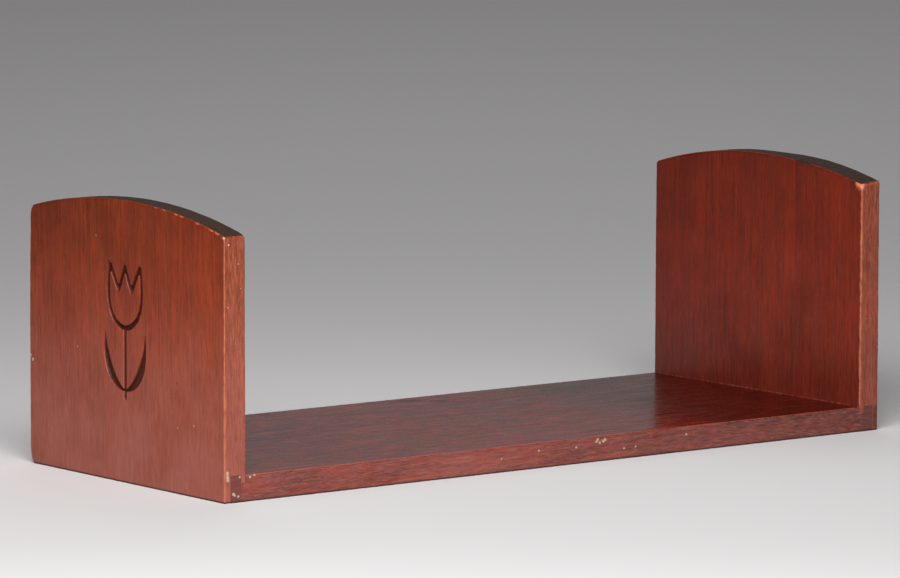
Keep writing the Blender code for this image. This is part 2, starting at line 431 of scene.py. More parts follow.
def shape_panel(points, side, look):
    """Rounds a panel's lattice points and returns them with the numbers that its finish reads.

    First the outline's corners are rounded, seen from the end; then the arrises between the outline and
    the two faces, by a radius that wavers along them and swells at the front's top; then chips are pressed
    into the arched edges, to their full depth near their middle and fading to nothing at their rim; last
    the arch's outer side is raised towards the front by the tilt, though not at the crown, and the back
    edge is bowed in towards its top.
    """
    x, y, z = points.T
    top = stretched(y, np.full_like(z, SHOULDER), look["lean"])
    z = stretched(y, z, look["lean"])
    depth_in = HALF_LENGTH - np.abs(x)
    top_gap = top - z

    # The outline's corners, each with its own reach along y and z
    at_back = y > 0
    at_top = z > CROWN / 2
    back_top, back_foot, front_top = look["back_top"], look["back_foot"], look["front_top"]
    reach_y, reach_z = (
        np.where(at_top, np.where(at_back, top_reach, front_top), np.where(at_back, foot_reach, 0.9 * MM))
        for top_reach, foot_reach in zip(back_top, back_foot)
    )
    end_gap = HALF_DEPTH - np.abs(y)
    low_gap = np.where(at_top, top_gap, z)
    inset_y = np.clip(1 - end_gap / reach_y, 0, None)
    inset_z = np.clip(1 - low_gap / reach_z, 0, None)
    round_y, round_z = round_square(inset_y, inset_z)
    y_sign, z_sign = np.sign(y), np.where(at_top, 1, -1)
    y = y + y_sign * (round_y - inset_y) * reach_y
    z = z + z_sign * (round_z - inset_z) * reach_z

    # The arrises between the outline and the two faces
    outline_gap = np.minimum(end_gap, low_gap)
    out_y = np.where(inset_y > 0, inset_y / reach_y, 0)
    out_z = np.where(inset_z > 0, inset_z / reach_z, 0)
    only_end = (inset_y == 0) & (inset_z == 0) & (end_gap <= low_gap)
    only_top = (inset_y == 0) & (inset_z == 0) & (end_gap > low_gap)
    out_y, out_z = np.where(only_end, 1, out_y), np.where(only_top, 1, out_z)
    size = np.hypot(out_y, out_z)
    out_y, out_z = y_sign * out_y / size, z_sign * out_z / size
    level_radius = np.where(at_top, sizes().top_arris, sizes().foot_arris)
    radius = np.where(end_gap < low_gap, sizes().arris, level_radius)
    radius = radius * (1 + 0.25 * waver(y - z, 31 * MM, 3 + side) + 0.15 * waver(y + z, 7 * MM, 9 + side))
    radius = radius * (1 + 0.5 * at_top * np.exp(-np.square((y + HALF_DEPTH) / (4 * MM))))
    behind_lip = (depth_in > LIP_THICKNESS - 1e-6) & (depth_in < PANEL_THICKNESS - 1e-6)
    joint_zone = behind_lip & (z < BOARD_TOP + 0.1 * MM)
    face_gap = np.minimum(depth_in, PANEL_THICKNESS - depth_in)
    in_outline = np.clip(radius - outline_gap, 0, None)
    in_face = np.clip(radius - face_gap, 0, None)
    in_face = np.where(joint_zone, 0, in_face)
    new_outline, new_face = round_square(in_outline, in_face)
    shift = new_outline - in_outline
    y = y + out_y * shift
    z = z + out_z * shift
    towards_face = np.where(depth_in < PANEL_THICKNESS / 2, 1, -1)
    x = x + side * towards_face * (new_face - in_face)

    # Wear follows the arrises: strongest up the front, thin along the arch, and a line where the board
    # meets the face
    arris_gap = outline_gap + face_gap
    front = (y < 0) & (end_gap < low_gap)
    outer_wear = look["outer_wear"] * (1.5 - smooth_step(0.03, 0.11, z))
    wide = np.where(depth_in < PANEL_THICKNESS / 2, outer_wear, look["inner_wear"])
    wear_and_highlight = np.exp(-np.square(arris_gap / np.where(front, wide, 0.4 * MM))) * np.where(front, 1.0, 0.5)
    seam_gap = np.abs(z - BOARD_TOP) + PANEL_THICKNESS - depth_in
    wear_and_highlight = np.maximum(wear_and_highlight, 0.8 * np.exp(-np.square(seam_gap / (0.6 * MM))))
    # The nub: the inner corner at the front's top is rubbed bare; where its number passes 1 the finish turns
    # it into a painted highlight.
    nub_gap = np.hypot(0.75 * (y + HALF_DEPTH), top - z) + 1.4 * (PANEL_THICKNESS - depth_in)
    wear_and_highlight = np.maximum(wear_and_highlight, look["nub"] * (1 - smooth_step(3.0 * MM, 5.2 * MM, nub_gap)))
    corner_gap = np.hypot(y + HALF_DEPTH, top - z)
    wear_and_highlight = np.maximum(wear_and_highlight, 0.9 * np.exp(-np.square(corner_gap / (1.3 * MM))))
    end_grain_and_contact_shadow = (top_gap < 0.3 * MM) * smooth_step(0.2 * MM, 0.7 * MM, arris_gap) * (corner_gap > 1.0 * MM)
    # Below 0.45 mm the foot is marked too: partly the bottom's own end grain, partly a painted contact
    # shadow along the foot's arris.
    end_grain_and_contact_shadow = np.maximum(end_grain_and_contact_shadow, (z < 0.45 * MM) * 1.0)

    for chip_in, chip_y, chip_drop, reach, depth in np.array(look["chips"]) * MM:
        side_gap = (depth_in - chip_in) / (0.5 * reach)
        gap = np.hypot(np.hypot(side_gap, (y - chip_y) / reach), (top - chip_drop - z) / (0.5 * reach))
        left = np.clip(1 - gap, 0, 1)
        press = depth * np.minimum(1, 2 * left) * (1 + 0.3 * waver(y, 1.1 * MM, 17))
        z = z - press * 0.8
        x = x + side * np.where(chip_in > 0, 1, -1) * press * 0.8
        wear_and_highlight = np.where(left > 0, look["chip_wear"], wear_and_highlight)
        end_grain_and_contact_shadow = np.where((left > 0.1) & (look["chip_wear"] == 0), 1.0, end_grain_and_contact_shadow)
    rise = np.clip((z - 60 * MM) / (SHOULDER - 60 * MM), 0, 1)
    tilt = look["tilt"] * smooth_step(-50 * MM, 50 * MM, -y) * (1 - np.exp((arch(y) - CROWN) / (1.3 * MM)))
    z = z + tilt * (1 - depth_in / PANEL_THICKNESS) * rise
    y = y - look["bow"] * np.square(rise) * np.clip(y / HALF_DEPTH, 0, 1) ** 6
    return np.stack([x, y, z], 1), {"wear_and_highlight": wear_and_highlight, "end_grain_and_contact_shadow": end_grain_and_contact_shadow}


def carve(points, faces, grid, lean):
    """Swaps the coarse cells behind the carving for a fine grid that is pressed in by the carving's
    depth.

    The fine grid's border lies on the coarse cells' border. Each coarse cell beside it takes the
    border's fine points into its own outline, so that the skin stays closed.
    """
    x, y, z = grid
    y_first = int(np.argmin(np.abs(y + CARVED_COLUMNS * CARVED_STEP / 2)))
    z_first = int(np.argmin(np.abs(z - CARVED_FOOT)))
    stride_y = len(z)

    def number(j, k):
        return j * stride_y + k

    quads = faces[0]
    on_face = (quads < len(y) * len(z)).all(1)
    cell_y, cell_z = quads.min(1) // stride_y, quads.min(1) % stride_y
    inside_y = (cell_y >= y_first) & (cell_y < y_first + CARVED_COLUMNS)
    inside_z = (cell_z >= z_first) & (cell_z < z_first + CARVED_ROWS)
    at_sides = inside_z & np.isin(cell_y, (y_first - 1, y_first + CARVED_COLUMNS))
    at_ends = inside_y & np.isin(cell_z, (z_first - 1, z_first + CARVED_ROWS))
    keep = ~(on_face & ((inside_y & inside_z) | at_sides | at_ends))

    fine_y = np.linspace(y[y_first], y[y_first + CARVED_COLUMNS], CARVED_COLUMNS * CARVED_FINENESS + 1)
    fine_z = np.linspace(z[z_first], z[z_first + CARVED_ROWS], CARVED_ROWS * CARVED_FINENESS + 1)
    v, w = np.meshgrid(fine_y, fine_z, indexing="ij")
    height = stretched(v, w, lean)
    # The border keeps to the straight sides of the coarse cells
    coarse_rows = fine_z[::CARVED_FINENESS]
    fine_points = np.stack([x[0] + carved_depth(v, height), v, height], -1)
    numbers = len(points) + np.arange(v.size).reshape(v.shape)
    for j in (0, -1):
        fine_points[j, :, 2] = np.interp(fine_z, coarse_rows, height[j, ::CARVED_FINENESS])
    for k in (0, -1):
        fine_points[:, k, 2] = np.interp(fine_y, fine_y[::CARVED_FINENESS], height[::CARVED_FINENESS, k])
    # Border points that are also coarse corners take the coarse corners' numbers
    j = y_first + np.arange(CARVED_COLUMNS + 1)
    k = z_first + np.arange(CARVED_ROWS + 1)
    numbers[::CARVED_FINENESS, 0], numbers[::CARVED_FINENESS, -1] = number(j, k[0]), number(j, k[-1])
    numbers[0, ::CARVED_FINENESS], numbers[-1, ::CARVED_FINENESS] = number(j[0], k), number(j[-1], k)
    # The outer face looks towards -x, so its quads run from z to y
    low, high = numbers[:-1], numbers[1:]
    fine_quads = np.stack([low[:, :-1], low[:, 1:], high[:, 1:], high[:, :-1]], -1).reshape(-1, 4)

    def runs(border):
        """The border's fine points in runs, one run for each coarse cell, with both of its corners."""
        starts = np.arange(0, len(border) - 1, CARVED_FINENESS)
        return border[starts[:, None] + np.arange(CARVED_FINENESS + 1)]

    j, k = j[:-1], k[:-1]
    beside = [
        np.column_stack([runs(numbers[0]), number(j[0] - 1, k + 1), number(j[0] - 1, k)])[:, ::-1],
        np.column_stack([number(j[-1] + 2, k + 1), number(j[-1] + 2, k), runs(numbers[-1])]),
        np.column_stack([number(j + 1, k[0] - 1), number(j, k[0] - 1), runs(numbers[:, 0])]),
        np.column_stack([runs(numbers[:, -1]), number(j + 1, k[-1] + 2), number(j, k[-1] + 2)])[:, ::-1],
    ]
    points = np.concatenate([points, fine_points.reshape(-1, 3)])
    return points, [quads[keep], fine_quads, *beside, *faces[1:]]


def bore(points, faces, square, rings, centre, far_square=None):
    """Drills through a flat face: takes away its quads inside a square of lattice points and joins the
    square's rim, laid on the first ring, to the further rings, each a (radius, height). With a far square,
    its rim is the last ring. Otherwise the last ring is returned, turned round, for a face to close.
    """
    rims = [rim for rim in (square, far_square) if rim is not None]
    keep = ~np.any([np.isin(faces, rim["cells"]).all(1) for rim in rims], 0)
    rim = square["rim"]
    around = np.arctan2(points[rim, 1] - centre[1], points[rim, 0] - centre[0])
    circle = np.stack([np.cos(around), np.sin(around), 0 * around], 1)
    start = np.array([centre[0], centre[1], 0])
    points[rim] = start + circle * rings[0][0] + (0, 0, rings[0][1])
    added = [start + circle * radius + (0, 0, height) for radius, height in rings[1:]]
    count = len(rim)
    numbers = [rim] + [len(points) + count * i + np.arange(count) for i in range(len(added))]
    points = np.concatenate([points, *added])
    if far_square is not None:
        points[far_square["rim"]] = start + circle * rings[-1][0] + (0, 0, BOARD_TOP)
        numbers.append(far_square["rim"])
    pairs = zip(numbers, numbers[1:])
    walls = [np.stack([near, far, np.roll(far, -1), np.roll(near, -1)], 1) for near, far in pairs]
    return points, np.concatenate([faces[keep], *walls]), numbers[-1][::-1]


def screw_spans(side, row):
    """From where to where the square round a screw reaches, along x and along y."""
    return [(centre - BORE_REACH, centre + BORE_REACH) for centre in (side * SCREW_X, row)]


def extended(numbers, count):
    """The points' numbers, with zeros for points that were added."""
    return {label: np.concatenate([values, np.zeros(count)]) for label, values in numbers.items()}


def rim_square(axes, spans, level, stride):
    """The lattice points of a level square, and those of its rim in order, running from x to y."""
    along_x, along_y = (
        np.flatnonzero((axis > low - 1e-7) & (axis < high + 1e-7)) for axis, (low, high) in zip(axes, spans)
    )
    row = int(np.argmin(np.abs(axes[2] - level)))
    block = along_x[:, None] * stride[0] + along_y[None, :] * stride[1] + row
    rim = np.concatenate([block[:-1, 0], block[-1, :-1], block[:0:-1, -1], block[0, :0:-1]])
    return {"cells": block.ravel(), "rim": rim}


def build_panel(name, side, node, material, look):
    """One end panel: the skin of its lattice, rounded, bored for its screws, and carved if it is the
    left one."""
    x, y, z = panel_lattice(side, look["carved"])
    quads = skin(panel_solid(x, y, z))
    corners = np.stack(np.meshgrid(x, y, z, indexing="ij"), -1).reshape(-1, 3)
    points, numbers = shape_panel(corners, side, look)
    seat, stride = BOARD_TOP + sizes().joint, (len(y) * len(z), len(z))
    ends = []
    for row in SCREW_ROWS:
        spans = screw_spans(side, row)
        square = rim_square((x, y, z), spans, seat, stride)
        rings = (
            (1.35 * MM, seat), (1.25 * MM, seat + 0.5 * MM),
            (1.25 * MM, SCREW_TIP - 1 * MM), (0.5 * MM, SCREW_TIP),
        )
        points, quads, last = bore(points, quads, square, rings, (side * SCREW_X, row))
        ends.append(last)
    numbers = extended(numbers, len(points) - len(corners))
    faces = [quads, *[last[None, :] for last in ends]]
    sunk = np.zeros(len(points))
    if look["carved"]:
        points, faces = carve(points, faces, (x, y, z), look["lean"])
        numbers = extended(numbers, len(points) - len(sunk))
        sunk = np.concatenate([sunk, (points[len(sunk):, 0] - x[0]) / sizes().carved_depth])
    points, faces, used = compact(points, faces)
    numbers = {label: values[used] for label, values in numbers.items()}
    numbers["sunk"] = sunk[used]
    make_piece(name, points, faces, numbers, material, node)


# ---- The base board ----


def build_board(name, material):
    """The base board: the skin of a lattice with a groove across each end, its long arrises rounded."""
    joint = sizes().joint
    end = HALF_LENGTH - LIP_THICKNESS - joint
    groove_out = HALF_LENGTH - PANEL_THICKNESS + TONGUE_THICKNESS + joint
    groove_in = HALF_LENGTH - PANEL_THICKNESS - joint
    near = lines(
        end - np.array((0, SEAM_STEP, 0.9 * MM)), even(groove_out + SEAM_STEP, end - 0.9 * MM, 1.2 * MM),
        joint_lines(groove_out), joint_lines(groove_in),
        groove_in + 1.4 * MM, groove_in - EDGE_STEPS,
    )
    near = lines(near[np.abs(near - SCREW_X) > BORE_REACH], SCREW_X + BORE_STEPS)
    x = lines(near, -near, even(-near[0], near[0], 2.0 * MM))
    y = graded(-HALF_DEPTH, HALF_DEPTH, 3.0 * MM)
    clear = np.abs(y[:, None] - SCREW_ROWS).min(1) > 2.9 * MM
    y = lines(y[clear], *[row + np.concatenate([BORE_STEPS, (-3.4 * MM, 3.4 * MM)]) for row in SCREW_ROWS])
    floor = BOARD_TOP - TONGUE_DEPTH
    z = lines(EDGE_STEPS, even(1.4 * MM, floor, 2 * MM), joint_lines(floor),
              even(floor + SEAM_STEP, BOARD_TOP - 1.4 * MM, 1.2 * MM), BOARD_TOP - EDGE_STEPS)
    middle_x = np.abs((x[1:] + x[:-1]) / 2)[:, None, None]
    middle_z = ((z[1:] + z[:-1]) / 2)[None, None, :]
    groove = (middle_x > groove_in) & (middle_x < groove_out) & (middle_z > floor)
    quads = skin(~groove & np.ones((1, len(y) - 1, 1), bool))
    points = np.stack(np.meshgrid(x, y, z, indexing="ij"), -1).reshape(-1, 3)

    px, py, pz = points.T
    radius = sizes().arris * (1 + 0.3 * waver(px, 41 * MM, 21) + 0.25 * waver(px, 9 * MM, 22))
    radius = np.where(pz < BOARD_TOP / 2, 0.4 * MM, radius)
    radius = np.where(np.abs(px) > groove_in + 1e-6, 0.1 * MM, radius)
    side_gap = HALF_DEPTH - np.abs(py)
    level_gap = np.minimum(pz, BOARD_TOP - pz)
    in_side, in_level = np.clip(radius - side_gap, 0, None), np.clip(radius - level_gap, 0, None)
    new_side, new_level = round_square(in_side, in_level)
    py = py + np.sign(py) * (new_side - in_side)
    pz = pz + np.where(pz > BOARD_TOP / 2, 1, -1) * (new_level - in_level)
    arris_gap = side_gap + level_gap
    worn_here = (pz > BOARD_TOP / 2) * (np.abs(px) < groove_in)
    wear_and_highlight = 0.95 * np.exp(-np.square(arris_gap / (0.6 * MM))) * worn_here
    # Dark: the board's ends, which are end grain, and a painted contact shadow along the foot from 0.02 to
    # 0.45 mm up.
    dark = np.maximum((np.abs(px) > end - 1e-6) * 1.0, ((pz > 0.02 * MM) & (pz < 0.45 * MM)) * 0.9)
    points = np.stack([px, py, pz], 1)
    stride = (len(y) * len(z), len(z))
    for side in (-1, 1):
        for row in SCREW_ROWS:
            spans = screw_spans(side, row)
            near_square = rim_square((x, y, z), spans, 0, stride)
            far_square = rim_square((x, y, z), spans, BOARD_TOP, stride)
            rings = ((3 * MM, 0), (2.95 * MM, 0.7 * MM), (1.7 * MM, 2.3 * MM), (1.65 * MM, 12 * MM))
            points, quads, _ = bore(points, quads, near_square, rings, (side * SCREW_X, row), far_square)
    numbers = {"wear_and_highlight": wear_and_highlight, "end_grain_and_contact_shadow": dark, "sunk": np.zeros(len(px))}
    numbers = extended(numbers, len(points) - len(px))
    points, faces, used = compact(points, [quads])
    numbers = {label: values[used] for label, values in numbers.items()}
    make_piece(name, points, faces, numbers, material, "base_board")


# ---- Finishes ----


class Recipe:
    """A material being put together from shader nodes."""

    def __init__(self, name):
        self.material = bpy.data.materials.new(name)
        self.material.use_nodes = True
        self.tree = self.material.node_tree
        self.shader = self.tree.nodes["Principled BSDF"]
        self.place = self.add("ShaderNodeTexCoord").outputs["Object"]

    def add(self, kind, inputs=None, **settings):
        """Adds a node. An input is given a socket to join to it, or a value."""
        node = self.tree.nodes.new(kind)
        for key, value in settings.items():
            setattr(node, key, value)
        for key, value in (inputs or {}).items():
            self.feed(value, node.inputs[key])
        return node

    def feed(self, value, target):
        """Joins a socket to a target, or sets the target's own value."""
        if isinstance(value, bpy.types.NodeSocket):
            self.tree.links.new(value, target)
        else:
            target.default_value = value

    def stretch(self, scale, turn=(0, 0, 0), shift=(0, 0, 0)):
        """Object coordinates, turned and divided by a length along each axis."""
        turned = self.add("ShaderNodeMapping", {"Vector": self.place, "Rotation": turn, "Location": shift})
        sized = self.add("ShaderNodeMapping", {"Vector": turned.outputs[0], "Scale": [1 / s for s in scale]})
        return sized.outputs[0]

    def noise(self, vector, detail=2.0, roughness=0.5, distortion=0.0):
        """Soft noise, near 0.5 on average."""
        inputs = {"Vector": vector, "Scale": 1.0, "Detail": detail, "Roughness": roughness}
        return self.add("ShaderNodeTexNoise", {**inputs, "Distortion": distortion}).outputs["Fac"]

    def math(self, operation, a, b=0.0, clamp=False):
        """One sum on numbers."""
        return self.add("ShaderNodeMath", {0: a, 1: b}, operation=operation, use_clamp=clamp).outputs[0]

    def times(self, a, b, clamp=False):
        """a times b."""
        return self.math("MULTIPLY", a, b, clamp)

    def plus(self, a, b, clamp=False):
        """a plus b."""
        return self.math("ADD", a, b, clamp)

    def between(self, value, low, high, start=0.0, stop=1.0):
        """Moves the range low to high onto start to stop, and holds it there beyond."""
        inputs = {"Value": value, "From Min": low, "From Max": high, "To Min": start, "To Max": stop}
        return self.add("ShaderNodeMapRange", inputs, clamp=True, interpolation_type="SMOOTHSTEP").outputs[0]

    def scaled(self, colour, factor):
        """A colour times a number."""
        grey = self.add("ShaderNodeCombineColor", {0: factor, 1: factor, 2: factor}).outputs[0]
        return self.mix(1.0, colour, grey, "MULTIPLY")

    def mix(self, share, a, b, blend="MIX"):
        """Blends two colours."""
        node = self.add("ShaderNodeMix", data_type="RGBA", blend_type=blend)
        self.feed(share, node.inputs["Factor"])
        self.feed(a, node.inputs[6])
        self.feed(b, node.inputs[7])
        return node.outputs[2]

    def number(self, label):
        """A number that the mesh carries for each of its points."""
        return self.add("ShaderNodeAttribute", attribute_name=label).outputs["Fac"]

    def axis(self, index):
        """One of the object coordinates: 0 for x, 1 for y, 2 for z."""
        return self.add("ShaderNodeSeparateXYZ", {0: self.place}).outputs[index]

    def from_middle(self, index):
        """How far a point lies from the rack's middle along one axis."""
        return self.math("ABSOLUTE", self.axis(index))

    def spots(self, places, ragged):
        """1 inside spots (x, y, z and radius in mm), whose rims a noise makes ragged."""
        nearest = 9.0
        for *place, radius in places:
            inputs = {0: self.place, 1: [c * MM for c in place]}
            gap = self.add("ShaderNodeVectorMath", inputs, operation="DISTANCE").outputs["Value"]
            nearest = self.math("MINIMUM", self.math("DIVIDE", gap, radius * MM), nearest)
        return self.between(self.plus(nearest, ragged), 1.1, 1.5, 1, 0)

    def bump(self, height, distance):
        """Small relief at half strength, on the shader's normal."""
        node = self.add("ShaderNodeBump", {"Height": height, "Distance": distance, "Strength": 0.5})
        self.feed(node.outputs[0], self.shader.inputs["Normal"])


def tint(colour, factor=1.0):
    """A colour times a factor, with alpha."""
    return (*[min(1.0, c * factor) for c in colour], 1.0)


def along_grain(across, along, grain):
    """Lengths along X, Y and Z, longest along the grain."""
    return [along if axis == grain else across for axis in range(3)]


# Marks of use in mm, and a darker strip up the right panel's lip, as runs between two places: x, y, z and
# radius
END, FRONT, SEAT = HALF_LENGTH / MM, -HALF_DEPTH / MM, BOARD_TOP / MM
PALE_SPECKS = {
    "left_panel_mahogany": (
        *run_of(31, 5, (-END + 1.7, FRONT, 16, 0.9), (-END + 2, FRONT, 11, 0.9)),
        *run_of(32, 2, (-END, 82, 53, 1.1), (-END, 85, 56, 0.8)),
        *run_of(33, 6, (-END, -70, 60, 0.5), (-END, 60, 90, 0.5), (0, 10, 45, 0.1)),
        *run_of(34, 2, (-END + 0.5, FRONT + 1, 130, 0.8), (-END + 1.5, FRONT, 131, 0.5)),
        *run_of(35, 4, (-END + 6, FRONT, 130, 0.45), (-END + 6, FRONT, 95, 0.45), (4, 0, 0, 0.1)),
    ),
    "right_panel_mahogany": ((END - INNER_FACE, FRONT, 130, 0.7), (END - 9, FRONT, 60, 0.3)),
    "board_mahogany": (
        *run_of(41, 4, (-END + 4, FRONT, 5, 0.75), (-END + 8, FRONT, 2.5, 0.75), (0.5, 0, 0.8, 0)),
        *run_of(42, 4, (-END + 7, FRONT, 12, 0.6), (-END + 19, FRONT, SEAT - 1, 0.7), (0, 0, 1, 0)),
        *run_of(43, 5, (20, FRONT, 11, 0.85), (27, FRONT, 10, 0.85), (0, 0, 1, 0.1)),
        *run_of(44, 6, (-45, FRONT, 6, 0.55), (85, FRONT, 8, 0.65), (0, 0, 3, 0.1)),
    ),
}
DARK_SPOTS = {
    "left_panel_mahogany": ((-END, -45, 55, 0.8),),
    "right_panel_mahogany": (
        *run_of(51, 4, (END, FRONT, 34, 1.1), (END, FRONT, 48, 1.2)),
        # A darker strip up the right panel's lip, from its foot to the board's top.
        *run_of(52, 3, (END - 1, FRONT, 1, 2.6), (END - 1, FRONT, SEAT, 2.5)),
    ),
    "board_mahogany": (
        *run_of(53, 5, (10, 85, SEAT, 5), (40, 60, SEAT, 5)),
        (-70, 80, SEAT, 4.5),
    ),
}
BOARD_SCUFFS = (
    *run_of(54, 4, (-55, 40, SEAT, 3), (-35, 10, SEAT, 3), (1, 4, 0, 0.3)),
    *run_of(55, 2, (-130, 50, SEAT, 5), (-85, -30, SEAT, 4.5)),
)


def wood(name, stain, edge, worn_colour, grain, lean, seed, painted_shade, floor_reflection, sheen):
    """Stained mahogany: faint ribbon bands, fine streaks, dark pores, thinner stain on its front and
    back edges, a painted reflection of the pale floor near the desk, worn arrises with a painted
    highlight on the right panel's rubbed corner, specks and scuffs, thirsty end grain, a painted
    contact shadow along the foot, and a carving darkened by dirt and painted shade.

    The painted shade is how light the wood is painted at its foot, halfway and at its top. The floor
    reflection is how strong the painted reflection of the floor is, and the sheen is how strongly the
    polish mirrors. Upright boards are also painted darker towards the back. The level board has a lighter
    flame figure and is browner at both ends. Painted light and shade make it lighter over most of its
    length and darker towards the right end. These broad fades are painted light and shade, and they stay
    in the colour whatever the light is.
    """
    recipe = Recipe(name)
    turn = (0, math.radians(lean), 0) if grain == 0 else (math.radians(lean), 0, 0)
    shift = (0.3 * seed, 0.7 * seed, 0.2 * seed)

    def grained(across, along, detail, roughness, distortion=0.0):
        place = recipe.stretch(along_grain(across, along, grain), turn, shift)
        return recipe.noise(place, detail, roughness, distortion)

    ribbon = grained(11 * MM, 170 * MM, 3, 0.5, 0.4)
    streak = grained(1.5 * MM, 60 * MM, 3, 0.62, 0.3)
    hair = grained(0.6 * MM, 11 * MM, 4, 0.7, 0.3)
    pores = recipe.between(grained(0.34 * MM, 4.5 * MM, 1, 0.5), 0.62, 0.74)
    cloud = recipe.noise(recipe.stretch((30 * MM,) * 3, turn, shift), 3, 0.6)
    ragged = recipe.noise(recipe.stretch((1.1 * MM,) * 3), 3, 0.65)

    on_edge = recipe.between(recipe.from_middle(1), HALF_DEPTH - 0.7 * MM, HALF_DEPTH - 0.3 * MM)
    base = recipe.mix(on_edge, tint(stain), tint(edge))
    brown = recipe.between(grained(3.4 * MM, 70 * MM, 3, 0.6, 0.2), 0.4, 0.66, 0, 0.35)
    base = recipe.mix(brown, base, tint((stain[0] * 0.7, stain[1] * 1.2, stain[2] * 1.2)))
    if grain == 0:
        flame = recipe.between(grained(4.0 * MM, 18 * MM, 5, 0.66, 1.0), 0.44, 0.68, 0, 0.7)
        base = recipe.mix(flame, base, tint((stain[0] * 2.4, stain[1] * 5, stain[2] * 9)))
        # Painted light and shade on the level board: its top is made lighter over most of its length and
        # darker towards the right end, and its front and back edges likewise.
        painted_top_light = recipe.between(recipe.axis(0), 0.06, 0.13, 1.4, 0.62)
        painted_edge_light = recipe.between(recipe.axis(0), -0.08, 0.21, 1.25, 0.7)
        painted_top_light = recipe.times(painted_top_light, recipe.math("SUBTRACT", 1, on_edge))
        painted_light = recipe.plus(painted_top_light, recipe.times(painted_edge_light, on_edge))
        base = recipe.scaled(base, painted_light)
    tone = recipe.plus(recipe.times(ribbon, 0.35), recipe.times(streak, 0.65))
    light = recipe.between(tone, 0.36, 0.64, 0.79, 1.2)
    light = recipe.times(light, recipe.between(hair, 0.32, 0.68, 0.76, 1.22))
    light = recipe.times(light, recipe.between(cloud, 0.3, 0.7, 0.86, 1.14))
    light = recipe.times(light, recipe.between(pores, 0, 1, 1, 0.62))
    # Painted light and shade: the wood is made lighter and darker by height, as the three shade numbers say,
    # and upright boards are made darker towards the back. The front and back edges keep nearly their own
    # tone.
    painted_light = recipe.between(recipe.axis(2), 0.01, 0.07, painted_shade[0], painted_shade[1])
    painted_light = recipe.times(painted_light, recipe.between(recipe.axis(2), 0.07, CROWN, 1, painted_shade[2] / painted_shade[1]))
    if grain == 2:
        painted_light = recipe.times(painted_light, recipe.between(recipe.axis(1), 0, HALF_DEPTH, 1, 0.83))
    light = recipe.times(light, recipe.math("MAXIMUM", painted_light, recipe.times(on_edge, 0.98)))
    fibre = recipe.between(grained(0.5 * MM, 9 * MM, 3, 0.7), 0.4, 0.56, 0.3, 0)
    light = recipe.times(light, recipe.math("SUBTRACT", 1.08, recipe.times(fibre, on_edge)))
    colour = recipe.scaled(base, light)
    flecks = recipe.noise(recipe.stretch(along_grain(0.6 * MM, 5 * MM, grain)), 4, 0.75)
    flecks = recipe.between(flecks, 0.46, 0.66)
    flecks = recipe.times(flecks, recipe.between(on_edge, 0, 1, 0.03, 0.6))
    colour = recipe.mix(flecks, colour, tint([edge[0] * 1.9, edge[1] * 1.65 + 0.01, edge[2] * 1.2 + 0.01]))
    # Painted reflection of the pale floor: near the desk the colour turns lighter and greyer, as strongly as
    # the floor reflection number says.
    low = recipe.between(recipe.axis(2), 0, 0.12, 1, 0)
    painted_floor_reflection = recipe.times(low, recipe.between(cloud, 0.3, 0.7, 0.5 * floor_reflection, 0.85 * floor_reflection))
    painted_floor_reflection = recipe.times(painted_floor_reflection, recipe.between(hair, 0.35, 0.65, 0.62, 1.25), clamp=True)
    colour = recipe.mix(painted_floor_reflection, colour, tint([c * 1.05 + 0.062 for c in stain]))

    scuff = recipe.noise(recipe.stretch((2.0 * MM, 2.0 * MM, 3.6 * MM)), 4, 0.68)
    wear_and_highlight = recipe.number("wear_and_highlight")
    worn = recipe.plus(recipe.times(wear_and_highlight, 0.85), recipe.times(scuff, 2.2))
    worn = recipe.times(recipe.between(worn, 1.4, 2.15), recipe.between(wear_and_highlight, 0.1, 0.5))
    seam = recipe.between(recipe.from_middle(0), 199.6 * MM, 200.2 * MM, 1, 0)
    seam = recipe.times(seam, recipe.between(recipe.axis(2), 14 * MM, 15.5 * MM, 1, 0))
    worn_and_highlight_tint = recipe.mix(seam, tint(worn_colour), tint(colours().board_worn, 0.8))
    # Painted highlight: where the nub's number passes 1, the worn colour is brightened 1.7 times.
    worn_and_highlight_tint = recipe.mix(recipe.between(wear_and_highlight, 1.0, 1.3), worn_and_highlight_tint, tint(worn_colour, 1.7))
    colour = recipe.mix(recipe.times(worn, 0.9), colour, worn_and_highlight_tint)
    scuffed = 0.0
    if grain == 0:
        torn = recipe.noise(recipe.stretch((6 * MM, 1.6 * MM, 2 * MM)), 3, 0.65)
        scuffed = recipe.spots(BOARD_SCUFFS, recipe.times(torn, 1.4))
        colour = recipe.mix(recipe.times(scuffed, 0.6), colour, tint(worn_colour, 0.7))
    dark = recipe.spots(DARK_SPOTS[name], recipe.times(ragged, 0.9))
    colour = recipe.mix(recipe.times(dark, 0.55), colour, tint(colours().end_grain_and_contact_shadow))
    # This number also carries the painted contact shadow along the foot.
    end_grain_and_contact_shadow = recipe.number("end_grain_and_contact_shadow")
    speckle = recipe.between(recipe.noise(recipe.stretch((0.7 * MM,) * 3), 3, 0.6), 0.35, 0.7)
    thirsty = recipe.mix(speckle, tint(colours().end_grain_and_contact_shadow, 0.5), tint(colours().end_grain_and_contact_shadow, 1.5))
    colour = recipe.mix(end_grain_and_contact_shadow, colour, thirsty)
    if grain == 0:
        beyond = recipe.between(recipe.from_middle(0), 199.5 * MM, 203.5 * MM, 0, 0.58)
        colour = recipe.mix(beyond, colour, tint((0.095, 0.022, 0.016)))
    # Painted contact shadow: a dark line along the foot, from just above the desk to 1.3 mm up.
    foot = recipe.between(recipe.axis(2), 0.35 * MM, 1.3 * MM, 0.97, 0)
    foot = recipe.times(foot, recipe.between(recipe.axis(2), 0.02 * MM, 0.12 * MM))
    colour = recipe.mix(foot, colour, tint(colours().end_grain_and_contact_shadow, 0.5))
